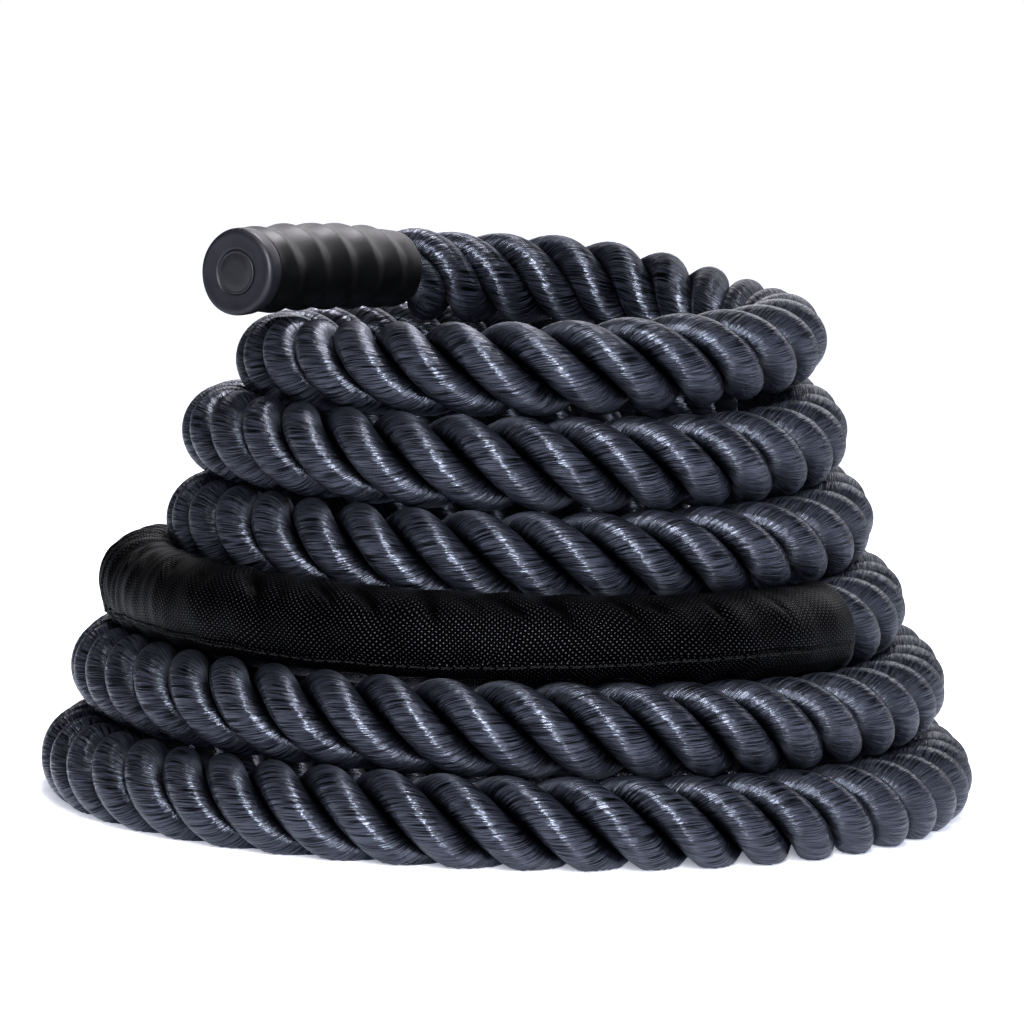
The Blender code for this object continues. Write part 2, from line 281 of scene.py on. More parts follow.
def waves(seed, places, shortest, longest):
    # Smooth, repeatable unevenness from about -1 to 1.
    chosen, count = np.random.default_rng(seed), 7
    total = np.zeros_like(places)
    for _ in range(count):
        length = shortest * (longest / shortest) ** chosen.random()
        total += np.sin(places * 2 * math.pi / length + chosen.random() * 2 * math.pi)
    return total / math.sqrt(count) / 1.6


# Shader nodes

def setSocket(tree, socket, value):
    # Another socket is linked, a colour or a number is written in.
    if isinstance(value, bpy.types.NodeSocket):
        tree.links.new(value, socket)
    else:
        socket.default_value = (*value, 1) if isinstance(value, tuple) else value


def feed(tree, sockets, values):
    for label, value in values.items():
        setSocket(tree, sockets[label], value)


def newGroup(name, inputs, outputs):
    # inputs and outputs: socket name to kind
    group = bpy.data.node_groups.new(name, "ShaderNodeTree")
    for way, sockets in (("INPUT", inputs), ("OUTPUT", outputs)):
        for label, kind in sockets.items():
            group.interface.new_socket(name=label, in_out=way, socket_type="NodeSocket" + kind)
    return group, group.nodes.new("NodeGroupInput").outputs, group.nodes.new("NodeGroupOutput").inputs


def mathNode(tree, operation, *values):
    node = tree.nodes.new("ShaderNodeMath")
    node.operation = operation
    for socket, value in zip(node.inputs, values):
        setSocket(tree, socket, value)
    return node.outputs[0]


def product(tree, first, *others):
    for other in others:
        first = mathNode(tree, "MULTIPLY", first, other)
    return first


def added(tree, first, *others):
    for other in others:
        first = mathNode(tree, "ADD", first, other)
    return first


def stretchedNoise(tree, across, along, sizes, detail, offset):
    # Noise drawn out along the fibres. sizes: across and along, in metres, sockets or numbers.
    place = tree.nodes.new("ShaderNodeCombineXYZ")
    tree.links.new(mathNode(tree, "DIVIDE", across, sizes[0]), place.inputs[0])
    tree.links.new(mathNode(tree, "DIVIDE", along, sizes[1]), place.inputs[1])
    place.inputs[2].default_value = offset
    noise = tree.nodes.new("ShaderNodeTexNoise")
    feed(tree, noise.inputs, {"Vector": place.outputs[0], "Scale": 1, "Detail": detail})
    return noise.outputs[0]


def swaying(tree, across, along, sizes, offset, reach):
    # A slow shift to and fro over this reach.
    centred = mathNode(tree, "SUBTRACT", stretchedNoise(tree, across, along, sizes, 1, offset), 0.5)
    return product(tree, centred, reach)


def remapped(tree, value, fromLow, fromHigh, toLow, toHigh):
    node = tree.nodes.new("ShaderNodeMapRange")
    for socket, given in zip(node.inputs, (value, fromLow, fromHigh, toLow, toHigh)):
        setSocket(tree, socket, given)
    return node.outputs[0]


def blended(tree, share, first, second):
    node = tree.nodes.new("ShaderNodeMix")
    node.data_type = "RGBA"
    for socket, given in ((node.inputs["Factor"], share), (node.inputs[6], first), (node.inputs[7], second)):
        setSocket(tree, socket, given)
    return node.outputs[2]


def splitPlace(tree, place):
    split = tree.nodes.new("ShaderNodeSeparateXYZ")
    tree.links.new(place, split.inputs[0])
    return split.outputs[0], split.outputs[1]


def uvPlace(tree, name):
    node = tree.nodes.new("ShaderNodeUVMap")
    node.uv_map = name
    return node.outputs[0]


def pointValue(tree, name):
    node = tree.nodes.new("ShaderNodeAttribute")
    node.attribute_name = name
    return node.outputs["Fac"]


def newMaterial(name):
    material = bpy.data.materials.new(name)
    material.use_nodes = True
    return material, material.node_tree, material.node_tree.nodes["Principled BSDF"]


def placeGroup(tree, group, values):
    node = tree.nodes.new("ShaderNodeGroup")
    node.node_tree = group
    feed(tree, node.inputs, values)
    return node.outputs


def addBump(tree, shader, height, strength, distance):
    bump = tree.nodes.new("ShaderNodeBump")
    feed(tree, bump.inputs, {"Height": height, "Strength": strength, "Distance": distance})
    tree.links.new(bump.outputs[0], shader.inputs["Normal"])


# Fibre surface of the strands. Sizes are across and along the fibres, in metres.

fibreLook = {
    "fibreLength": 0.020,
    "yarnLength": 0.030,
    "wanderSizes": (0.014, 0.026),
    "wander": 0.0016,
    "brokenSizes": (0.0013, 0.0075),
    "sunkSizes": (0.0011, 0.030),
    "sunkTone": 0.68,
    "yarnTone": 0.88,
    "gapShare": (0.72, 0.36),  # on most of the coil, on its right side with painted light
    "roughness": (0.42, 0.29),  # of dark and light fibres
    "heights": (0.30, 0.55, 1.8),  # of fibres, yarns and broken filaments
}


def makeFibreGroup():
    look = fibreLook
    tree, given, out = newGroup(
        "fibreLay",
        {"Place": "Vector", "Fibre Width": "Float", "Yarn Width": "Float", "Dark": "Color", "Light": "Color",
         "Fibre Shade": "Float", "Right Lit": "Float"},
        {"Color": "Color", "Roughness": "Float", "Gap": "Float", "Height": "Float"},
    )
    across, along = splitPlace(tree, given["Place"])
    # Fibres wander a little, so the lines aren't ruled.
    across = added(tree, across, swaying(tree, across, along, look["wanderSizes"], 3.0, look["wander"]))
    fine = stretchedNoise(tree, across, along, (given["Fibre Width"], look["fibreLength"]), 0, 0.0)
    yarn = stretchedNoise(tree, across, along, (given["Yarn Width"], look["yarnLength"]), 0, 7.0)
    broken = stretchedNoise(tree, across, along, look["brokenSizes"], 1, 11.0)
    sunk = stretchedNoise(tree, across, along, look["sunkSizes"], 0, 17.0)
    fineShare = remapped(tree, fine, 0.34, 0.66, 0.0, 1.0)
    yarnShare = remapped(tree, yarn, 0.35, 0.65, 0.0, 1.0)
    # Every few fibres one lies deeper. Painted shade makes all of them blackest down between the strands, on
    # the inner side of the back rows and on the last arc.
    sunkShare = remapped(tree, sunk, 0.36, 0.48, look["sunkTone"], 1.0)
    yarnTone = remapped(tree, yarnShare, 0.0, 1.0, look["yarnTone"], 1.0)
    tone = product(tree, fineShare, sunkShare, yarnTone, given["Fibre Shade"])
    # Light sinks into the gaps between fibres, so they are black metal: no gloss of their own. Painted shade
    # that darkens the tone takes the gloss too, and on the coil's right side the gaps are made less black as
    # painted light.
    unlitGap = remapped(tree, given["Right Lit"], 0.0, 1.0, *look["gapShare"])
    fineHeight, yarnHeight, brokenHeight = look["heights"]
    height = added(tree, product(tree, fineShare, fineHeight), product(tree, yarnShare, yarnHeight))
    height = added(tree, height, product(tree, broken, brokenHeight))
    feed(tree, out, {
        "Color": blended(tree, tone, given["Dark"], given["Light"]),
        "Roughness": remapped(tree, tone, 0.0, 0.8, *look["roughness"]),
        "Gap": product(tree, remapped(tree, tone, 0.0, 0.48, 1.0, 0.0), unlitGap),
        "Height": height,
    })
    return tree


fibreGroup = makeFibreGroup()


def ropeMaterial():
    material, tree, shader = newMaterial("rope fibre")
    lay = placeGroup(tree, fibreGroup, {
        "Place": uvPlace(tree, "fibre"),
        "Fibre Width": 0.00048,
        "Yarn Width": 0.0023,
        "Dark": (0.0004, 0.0005, 0.0009),
        "Light": (0.0195, 0.0208, 0.0295),
        "Fibre Shade": pointValue(tree, "crest"),
        "Right Lit": pointValue(tree, "rightLit"),
    })
    tangent = tree.nodes.new("ShaderNodeTangent")
    tangent.direction_type = "UV_MAP"
    tangent.uv_map = "fibre"
    feed(tree, shader.inputs, {
        "Base Color": lay["Color"],
        "Roughness": lay["Roughness"],
        "Metallic": lay["Gap"],
        "Tangent": tangent.outputs[0],
        "Anisotropic": 0.95,
        "IOR": 1.64,
        "Specular Tint": (0.74, 0.80, 0.98),
    })
    addBump(tree, shader, lay["Height"], strength=0.9, distance=0.0005)
    return material


# The rope: three strands, laid right-handed

strandShape = {
    "lay": 0.098,
    "shifts": ((0.9, 0), (2.15, -0.006), (3.65, 0.0155), (6.14, -0.001), (7.23, 0.015), (8.18, 0.0085)),
    "offset": 0.300,
    "radius": 0.2160,
    "unevenRadius": 0.018,
    "unevenOffset": 0.012,
    "around": 28,
    "ringStep": 0.0025,
    "lowest": 0.0004,
    "fibreTwist": 1.80,
    "insideGrip": 0.045,
    "neck": (0.74, 0.026, 0.3),  # share of the width, length, how far it has risen inside
    "sag": 0.0038,  # the last arc hangs this much lower than the route
    "sagLengths": (0.048, 0.1),  # at the grip, where the arc starts
    "pinch": 0.90,  # inside the sleeve
    "backSwell": (0.05, 0.12),  # how much, and how far back it is full
    # Painted shade: between the strands, on the back rows' inner side and on the last arc.
    "valley": (0.335, 0.495),
    "innerShade": 0.85,
    "innerReach": (0.06, 5.4),  # full this far back, ends at this height in diameters
    "arcShade": (0.16, 0.12),  # how much, over what length it starts
}


def distanceOn(line, reached, angle):
    # How far along the rope the coil reaches this angle.
    point = coilLine()[round((angle - route["startAngle"]) * route["perTurn"] / 360)]
    return float(reached[np.argmin(np.linalg.norm(line - point, axis=1))])


def ropeLine():
    # The rope's middle from inside one grip to inside the other, and both mouths with their ways.
    shape, size, arc = strandShape, route["diameter"], route["topArc"]
    atJoins, onGround, atGrips = route["smoothing"]
    middle, innerWay, topWay = wholeLine()
    middle = smoothedLine(resampled(middle, shape["ringStep"]), atJoins)
    middle[:, 2] = np.maximum(middle[:, 2], route["lowest"] * size)
    middle = smoothedLine(middle, onGround)
    left = lengthsAlong(middle)[-1] - lengthsAlong(middle)
    arcLength = math.radians(arc["turn"]) * arc["radius"] * size
    late, early = shape["sagLengths"]
    middle[:, 2] -= shape["sag"] * easedOver(left, late) * easedOver(arcLength - left, early)
    reach = np.linspace(shape["ringStep"], shape["insideGrip"], 18)[:, None]
    points = np.vstack([(middle[0] + innerWay * reach)[::-1], middle, middle[-1] + topWay * reach])
    mouths = {"inner": (middle[0], innerWay), "top": (middle[-1], topWay)}
    return smoothedLine(resampled(points, shape["ringStep"]), atGrips), mouths, arcLength


def ropeWidth(line, reached):
    # Share of the rope's full width at each ring.
    shape = strandShape
    # Narrows into each grip's mouth.
    fromEnd = np.minimum(reached, reached[-1] - reached) - shape["insideGrip"]
    share, length, risen = shape["neck"]
    narrow = share + (1 - share) * eased(np.clip(fromEnd / length + risen, 0, 1))
    # Slack turns at the back are a little fuller.
    swell, reach = shape["backSwell"]
    narrow *= 1 + swell * np.clip(line[:, 1] / reach, 0, 1)
    # The sleeve squeezes it.
    sleeveEnd = distanceOn(line, reached, sleeveShape["endAngle"])
    covered = np.minimum(reached - sleeveEnd + sleeveShape["length"], sleeveEnd - reached)
    return narrow * (1 - (1 - shape["pinch"]) * easedOver(covered, 0.014))


def crestShade(line, reached, outward, fromLine, arcLength):
    # Painted shade on the fibres: 0, darkest, down between the strands, 1 on their crests.
    shape, size = strandShape, route["diameter"]
    low, high = shape["valley"]
    crest = np.clip((np.linalg.norm(fromLine, axis=3) / size - low) / (high - low), 0, 1)
    # Painted shade on the inner side of the rows at the back, where hardly any light gets.
    reach, top = shape["innerReach"]
    inward = np.clip(-3.2 * (fromLine * outward[:, None]).sum(3) / size - 0.5, 0, 1)
    behind = np.clip(line[:, 1] / reach, 0, 1) * np.clip(top - line[:, 2] / size, 0, 1)
    crest *= 1 - shape["innerShade"] * inward * behind[:, None]
    # Painted shade: the last arc's fibres are a little darker.
    dark, fade = shape["arcShade"]
    onTop = easedOver(reached - reached[-1] + arcLength + fade / 2, fade)
    return crest * (1 - dark * onTop[:, None])


def makeRope():
    shape, size = strandShape, route["diameter"]
    line, mouths, arcLength = ropeLine()
    reached = lengthsAlong(line)
    tangent = unitRows(np.gradient(line, axis=0))
    outward = unitRows(np.cross(tangent, (0, 0, 1)))
    down = np.cross(tangent, outward)
    narrow = ropeWidth(line, reached)
    # The lay isn't quite regular: crests sit this much later on each row's front.
    shiftPlaces, shifts = zip(*shape["shifts"])
    turn = 2 * math.pi * (reached - np.interp(reached, shiftPlaces, shifts)) / shape["lay"]

    count, around = len(line), shape["around"]
    # The seam of the maps lies on the inner side.
    places = math.pi + 2 * math.pi * np.arange(around) / around
    lean = math.atan(shape["fibreTwist"])
    edge = np.arange(around + 1) / around * 2 * math.pi * shape["radius"] * size
    vertices, quads, fibrePlaces, centres = [], [], [], []
    for strand in range(3):
        radial = turnedWay(turn + 2 * math.pi * strand / 3, outward, down)
        uneven = 1 + shape["unevenRadius"] * waves(strand + 10, reached, 0.05, 0.4)
        drift = 1 + shape["unevenOffset"] * waves(strand + 20, reached, 0.08, 0.6)
        centre = line + radial * (shape["offset"] * size * narrow * drift)[:, None]
        centres.append(centre)
        forward = unitRows(np.gradient(centre, axis=0))
        first = unitRows(radial - (radial * forward).sum(1)[:, None] * forward)
        second = np.cross(forward, first)
        radius = shape["radius"] * size * narrow * uneven
        across = turnedWay(places, first[:, None], second[:, None])
        vertices.append(centre[:, None] + across * radius[:, None, None])
        quads.append(gridQuads(count, around, strand * count * around))
        # Fibre map: U across the fibres, V along them, metres, and far from the next strand's.
        grid = gridPlaces(edge, lengthsAlong(centre))
        u = grid[:, 0] * math.cos(lean) + grid[:, 1] * math.sin(lean)
        v = grid[:, 1] * math.cos(lean) - grid[:, 0] * math.sin(lean)
        fibrePlaces.append(np.column_stack([u + 3.7 * strand, v]))
    vertices = np.stack(vertices)
    crest = crestShade(line, reached, outward, vertices - line[:, None], arcLength)
    vertices[..., 2] = np.maximum(vertices[..., 2], shape["lowest"])
    maps = {"fibre": np.vstack(fibrePlaces)}
    rope = newMesh("ropeStrands", vertices.reshape(-1, 3), np.vstack(quads), ropeMaterial(), maps)
    # The crest values are painted shade, read by the fibres' shader.
    addPointValue(rope, "crest", crest)
    # Painted light: on the coil's right side the fibre gaps are less black, so it looks lit from the right.
    rightLitShare = easedOver(outward[:, 0] - 0.40, 0.45) * (line[:, 0] > 0)
    addPointValue(rope, "rightLit", np.tile(np.repeat(rightLitShare, around), 3))
    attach(rope, "root")
    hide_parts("rope")
    lay = {"line": line, "reached": reached, "tangent": tangent, "outward": outward, "down": down}
    return {**lay, "turn": turn, "strands": centres, "mouths": mouths}


ropeLay = makeRope()


def frameAt(distances):
    # Place, tangent, outward and down along the rope, with the strands' turn there.
    reached = ropeLay["reached"]
    place, forward, out, low = (
        np.column_stack([np.interp(distances, reached, ropeLay[name][:, axis]) for axis in range(3)])
        for name in ("line", "tangent", "outward", "down")
    )
    turn = np.interp(distances, reached, ropeLay["turn"])
    return place, unitRows(forward), unitRows(out), unitRows(low), turn


# Materials of the sleeve and the grips

# Crown colours are painted glints on the weave's crowns.
clothLook = {
    "sleeve cloth": {"Pitch": 0.00152, "Crown Glint Color": (0.044, 0.042, 0.050)},
    "seam cloth": {"Pitch": 0.00142, "Crown Glint Color": (0.020, 0.019, 0.024)},
}

weaveLook = {
    "driftSizes": (0.030, 0.040),
    "swaySizes": (0.026, 0.034),
    "drift": 0.008,
    "unevenSizes": (0.0017, 0.0017),
    "uneven": 0.45,
    "weftTone": 0.55,
    "crownPower": 6.0,
    "roughness": (0.55, 0.40),  # of gaps and crowns
}

rubberLook = {
    "grip rubber": {"Grain Size": 0.0009, "Dark": (0.0002, 0.0002, 0.0003), "Light": (0.0007, 0.0007, 0.0009)},
    "cap rubber": {"Grain Size": 0.0007, "Dark": (0.0050, 0.0046, 0.0066), "Light": (0.0094, 0.0087, 0.0122)},
    "blank badge": {"Grain Size": 0.0005, "Dark": (0.0050, 0.0048, 0.0060), "Light": (0.0100, 0.0098, 0.0120)},
}


def makeWeaveGroup():
    look = weaveLook
    tree, given, out = newGroup(
        "plainWeave",
        {"Place": "Vector", "Pitch": "Float", "Gap Color": "Color", "Crown Glint Color": "Color", "Cloth Shade": "Float"},
        {"Color": "Color", "Roughness": "Float", "Gap": "Float", "Height": "Float"},
    )
    across, along = splitPlace(tree, given["Place"])
    # The cloth is never square on the rope, so its yarns drift.
    drift = swaying(tree, across, along, look["driftSizes"], 2.0, look["drift"])
    sway = swaying(tree, across, along, look["swaySizes"], 9.0, look["drift"])
    across, along = added(tree, across, drift), added(tree, along, sway)
    warp, weft = (
        mathNode(tree, "SINE", product(tree, mathNode(tree, "DIVIDE", place, given["Pitch"]), math.pi))
        for place in (across, along)
    )
    both = product(tree, warp, weft)
    # Warp crowns stand a little prouder than weft crowns.
    over = remapped(tree, both, -0.25, 0.25, look["weftTone"], 1.0)
    crown = product(tree, mathNode(tree, "POWER", mathNode(tree, "ABSOLUTE", both), 0.8), over)
    uneven = stretchedNoise(tree, across, along, look["unevenSizes"], 1, 5.0)
    # Uneven yarns are darker at random, and painted shade blackens the cloth where it sinks in and between ring
    # folds, taking its gloss too.
    uneven = remapped(tree, uneven, 0.3, 0.7, look["uneven"], 1.0)
    # Painted glints: the crowns show as bright dots on black gaps, which are painted shade; the weave itself is
    # the cloth's own.
    tone = product(tree, mathNode(tree, "POWER", crown, look["crownPower"]), uneven, given["Cloth Shade"])
    feed(tree, out, {
        "Color": blended(tree, tone, given["Gap Color"], given["Crown Glint Color"]),
        "Roughness": remapped(tree, crown, 0.0, 1.0, *look["roughness"]),
        "Gap": remapped(tree, tone, 0.0, 0.5, 1.0, 0.0),
        "Height": crown,
    })
    return tree


def makeRubberGroup():
    tree, given, out = newGroup(
        "rubberSkin",
        {"Place": "Vector", "Grain Size": "Float", "Dark": "Color", "Light": "Color"},
        {"Color": "Color", "Roughness": "Float", "Height": "Float"},
    )
    noises = []
    # Grain, and mottling 9 and 34 grains wide
    for grains, detail in ((1, 2), (9, 3), (34, 2)):
        scaled = tree.nodes.new("ShaderNodeVectorMath")
        scaled.operation = "SCALE"
        scale = mathNode(tree, "DIVIDE", 1 / grains, given["Grain Size"])
        feed(tree, scaled.inputs, {"Vector": given["Place"], "Scale": scale})
        noise = tree.nodes.new("ShaderNodeTexNoise")
        feed(tree, noise.inputs, {"Vector": scaled.outputs[0], "Scale": 1, "Detail": detail})
        noises.append(noise.outputs[0])
    grain, mottle, cloud = noises
    share = added(tree, product(tree, mottle, 0.5), product(tree, cloud, 0.5))
    share = remapped(tree, share, 0.35, 0.65, 0.0, 1.0)
    rough = remapped(tree, mottle, 0.3, 0.7, 0.36, 0.44)
    feed(tree, out, {
        "Color": blended(tree, share, given["Dark"], given["Light"]),
        "Roughness": added(tree, rough, product(tree, grain, 0.08)),
        "Height": added(tree, product(tree, grain, 0.25), product(tree, mottle, 0.6)),
    })
    return tree


weaveGroup = makeWeaveGroup()
rubberGroup = makeRubberGroup()


def clothMaterial(name):
    material, tree, shader = newMaterial(name)
    weave = placeGroup(tree, weaveGroup, {
        "Place": uvPlace(tree, "cloth"),
        "Gap Color": (0.0003, 0.0003, 0.0004),
        "Cloth Shade": pointValue(tree, "clothShade"),
        **clothLook[name],
    })
    feed(tree, shader.inputs, {
        "Base Color": weave["Color"],
        "Roughness": weave["Roughness"],
        "Metallic": weave["Gap"],
        "IOR": 1.33,
    })
    addBump(tree, shader, weave["Height"], strength=0.7, distance=0.0004)
    return material


def rubberMaterial(name):
    material, tree, shader = newMaterial(name)
    place = tree.nodes.new("ShaderNodeTexCoord").outputs["Object"]
    skin = placeGroup(tree, rubberGroup, {"Place": place, **rubberLook[name]})
    feed(tree, shader.inputs, {"Base Color": skin["Color"], "Roughness": skin["Roughness"], "IOR": 1.38})
    addBump(tree, shader, skin["Height"], strength=0.25, distance=0.0004)
    return material


# Fabric sleeve, snug on the third row

def nearestStrands(inside, start, end):
    # Finds strand middles inside or outside a stretch of the rope.
    reached, margin = ropeLay["reached"], 0.05
    chosen = (reached > start - margin) & (reached < end + margin)
    if not inside:
        chosen = ~chosen
    points = np.vstack([centre[chosen] for centre in ropeLay["strands"]])
    tree = KDTree(len(points))
    for index, point in enumerate(points.tolist()):
        tree.insert(point, index)
    tree.balance()
    return tree


def distancesTo(tree, points):
    found = [tree.find(point)[2] for point in points.reshape(-1, 3).tolist()]
    return np.array(found).reshape(points.shape[:2])


def foldedRadius(distances, places, turn, folded):
    # Radius of the slack cloth, and its painted shade: 0, darkest, between ring folds, 1 on them.
    shape = sleeveShape
    start, end = distances[0], distances[-1]
    radius = np.full((len(distances), shape["around"]), shape["radius"])
    radius += shape["strandMark"] * np.cos(3 * (places - turn[:, None]))
    # Ring folds where the rope turns away on the left, weak ones elsewhere.
    chosen = np.random.default_rng(5)
    raised = np.zeros_like(radius)
    at = start + 0.01
    while at < end - 0.01:
        strength = hill(at - folded, shape["foldReach"]) + 0.06 * chosen.random()
        lean = chosen.uniform(-0.004, 0.004)
        middle = at + lean * np.sin(places + chosen.uniform(0, 6))
        middle += 0.0012 * np.sin(3 * places + chosen.uniform(0, 6))
        weight = 0.55 + 0.45 * np.cos(places + chosen.uniform(0.2, 1.2))
        ridge = hill(distances[:, None] - middle, shape["foldWidth"])
        radius += shape["foldHeight"] * strength * chosen.uniform(0.6, 1.1) * weight * ridge
        raised = np.maximum(raised, ridge)
        at += shape["foldSpacing"] * chosen.uniform(0.7, 1.3)
    # Long slack waves of the cloth.
    slack = waves(31, distances, 0.03, 0.12)[:, None] * np.cos(places * 2 + 1)
    slack += waves(32, distances, 0.02, 0.09)[:, None] * np.sin(places * 3)
    radius += 0.00022 * slack
    # Slanting creases run down from under the row above.
    at = start + 0.02
    windowAt, windowWidth = shape["creaseWindow"]
    while at < end - 0.02:
        reach = chosen.uniform(*shape["creaseReach"])
        down = np.clip((np.degrees(places - 2 * math.pi) + shape["creaseTop"]) / reach, -1, 2)
        middle = at + chosen.uniform(*shape["creaseSlant"]) * down
        width = shape["creaseWidth"] * chosen.uniform(0.7, 1.4) * np.clip(1.2 - 0.9 * down, 0.25, 1.5)
        valley = hill(distances[:, None] - middle, width) * hill(down - windowAt, windowWidth)
        radius -= shape["creaseDepth"] * chosen.uniform(0.4, 1.0) * valley
        at += shape["creaseSpacing"] * chosen.uniform(0.5, 1.3)
    # Both hems draw in to the rope.
    toEnd = np.minimum(distances - start, end - distances)
    radius -= 0.0003 * np.exp(-toEnd / 0.006)[:, None]
    gathered = hill(distances - folded, shape["foldReach"])
    return radius, 1 - shape["foldShade"] * gathered[:, None] * (1 - raised)


def makeSleeve():
    shape = sleeveShape
    end = distanceOn(ropeLay["line"], ropeLay["reached"], shape["endAngle"])
    start = end - shape["length"]
    distances = np.linspace(start, end, round(shape["length"] / shape["ringStep"]) + 1)
    place, forward, out, low, turn = frameAt(distances)
    places = 2 * math.pi * np.arange(shape["around"]) / shape["around"] + math.pi
    ways = turnedWay(places, out[:, None], low[:, None])
    folded = distanceOn(ropeLay["line"], ropeLay["reached"], shape["foldAngle"])
    radius, light = foldedRadius(distances, places, turn, folded)

    def surface(depth):
        return place[:, None] + ways * (radius - depth)[:, :, None]

    # Strands of the rows above and below press into it, its own strands hold it up.
    strandRadius = strandShape["radius"] * route["diameter"]
    press = shape["sidePress"] + shape["press"] * np.clip(1.5 * ways[:, :, 2], 0, 1)
    others = nearestStrands(False, start, end)
    for _ in range(2):
        room = distancesTo(others, surface(0)) - strandRadius - press
        near = hill(np.maximum(room, 0), shape["pressReach"])
        radius += np.minimum(room, 0) - 0.0004 * near
    room = distancesTo(nearestStrands(True, start, end), surface(0)) - strandRadius * strandShape["pinch"]
    radius -= np.minimum(room - 0.0003, 0)

    hem, outer, rolled = shape["hem"], surface(0), surface(shape["wall"] / 2)
    farHem, nearHem = rolled[-1:] + forward[-1] * hem, rolled[:1] - forward[0] * hem
    rings = np.concatenate([outer, farHem, surface(shape["wall"])[::-1], nearHem, outer[:1]])
    edge = np.arange(shape["around"] + 1) / shape["around"] * 2 * math.pi * shape["radius"]
    there = end + hem
    back = 2 * there - start
    alongEdges = np.concatenate([distances, [there], 2 * there - distances[::-1], [back + hem, back + 2 * hem]])
    maps = {"cloth": gridPlaces(edge, alongEdges)}
    quads = gridQuads(len(rings), shape["around"])
    sleeve = newMesh("sleeveCloth", rings.reshape(-1, 3), quads, clothMaterial("sleeve cloth"), maps)
    # Painted shade: the cloth darkens where it sinks below its radius, in dents and creases.
    light = light * np.clip(1 - (shape["radius"] - radius) / shape["darkDepth"], 0, 1)
    addPointValue(sleeve, "clothShade", np.concatenate([light, light[-1:], light[::-1], light[:1], light[:1]]))
    weldEnds(sleeve)
    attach(sleeve, "root")
    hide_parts("sleeve_panel")
    print("sleeve:", len(outer), "rings")
    lay = {"place": place, "forward": forward, "out": out, "low": low}
    return {**lay, "distances": distances, "places": places, "radius": radius}


sleeveLay = makeSleeve()


def ringIndex(angle):
    # Where on the sleeve's ring an angle lies, counted in its points.
    around = sleeveShape["around"]
    return (angle - sleeveLay["places"][0]) % (2 * math.pi) / (2 * math.pi) * around


# Folded seam allowance of the sleeve

seamShape = {
    "places": (4.90, 4.97, 5.01, 5.06, 5.10, 5.20),
    "from": (25, 21, 16, 12, 7, 6),  # degrees below the middle at those places
    "width": 28,
    "thickness": 0.0010,
    "across": 12,
    "outerGap": 0.00015,
    "underGap": 0.0001,
    "puckerStep": 0.0290,
    "puckerDraw": 5,
    "puckerHeight": 0.0008,
    "light": 0.8,
}


def makeSeam():
    seam, distances = seamShape, sleeveLay["distances"]
    around, radius = sleeveShape["around"], sleeveLay["radius"]
    pucker = 2 * math.pi * distances / seam["puckerStep"] + 0.8 * waves(41, distances, 0.05, 0.2)
    pucker = 0.5 + 0.5 * np.sin(pucker)
    fall = np.interp(distances, seam["places"], seam["from"])
    highEdge = np.radians(fall + 0.8 * waves(42, distances, 0.04, 0.15))
    lowEdge = highEdge + np.radians(seam["width"] - seam["puckerDraw"] * pucker)
    toEnd = np.minimum(distances - distances[0], distances[-1] - distances)
    shrink = np.minimum(toEnd / 0.003, 1)

    def surfaceAt(share, lift):
        angle = highEdge + (lowEdge - highEdge) * share
        turned = ringIndex(angle)
        left = np.floor(turned).astype(int) % around
        part = turned - np.floor(turned)
        rows = np.arange(len(distances))
        base = radius[rows, left] * (1 - part) + radius[rows, (left + 1) % around] * part
        way = turnedWay(angle, sleeveLay["out"], sleeveLay["low"])
        return sleeveLay["place"] + way * (base + lift * shrink)[:, None]

    steps = np.linspace(0, 1, seam["across"])
    swell = np.sqrt(np.clip(1 - (2 * steps - 1) ** 6, 0, 1))
    lines = []
    for share, rise in zip(steps, swell):
        lift = seam["outerGap"] + seam["thickness"] * rise * (1 - 0.35 * share)
        lines.append(surfaceAt(share, lift + seam["puckerHeight"] * pucker * share**1.5))
    for share in steps[::-1]:
        lines.append(surfaceAt(share, seam["underGap"]))
    strip = np.stack(lines, axis=1)
    span = math.radians(seam["width"]) * sleeveShape["radius"]
    edge = np.concatenate([steps * span, span + steps * span, [2 * span]])
    quads = gridQuads(len(strip), strip.shape[1])
    maps = {"cloth": gridPlaces(edge, distances)}
    allowance = newMesh("seamAllowance", strip.reshape(-1, 3), quads, clothMaterial("seam cloth"), maps)
    # The seam allowance's weave is dimmed evenly as painted shade.
    addPointValue(allowance, "clothShade", np.full(len(allowance.data.vertices), seam["light"]))
    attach(allowance, "root")
    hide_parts("sleeve_seam_strip")
    return highEdge


seamEdge = makeSeam()


# Chain stitches along it, two short legs each

stitchShape = {
    "step": 0.0032,
    "length": 0.0030,
    "radius": 0.00024,
    "legs": 0.0006,
    "arch": 0.00055,
    "rings": 6,
    "sides": 6,
}


def threadMaterial():
    material, tree, shader = newMaterial("stitch thread")
    twist = tree.nodes.new("ShaderNodeTexWave")
    place = tree.nodes.new("ShaderNodeTexCoord").outputs["Object"]
    feed(tree, twist.inputs, {"Scale": 700, "Vector": place})
    color = blended(tree, twist.outputs["Fac"], (0.0003, 0.0003, 0.0004), (0.0032, 0.0032, 0.0040))
    feed(tree, shader.inputs, {"Base Color": color, "Roughness": 0.60, "IOR": 1.33})
    addBump(tree, shader, twist.outputs["Fac"], strength=0.5, distance=0.0002)
    return material


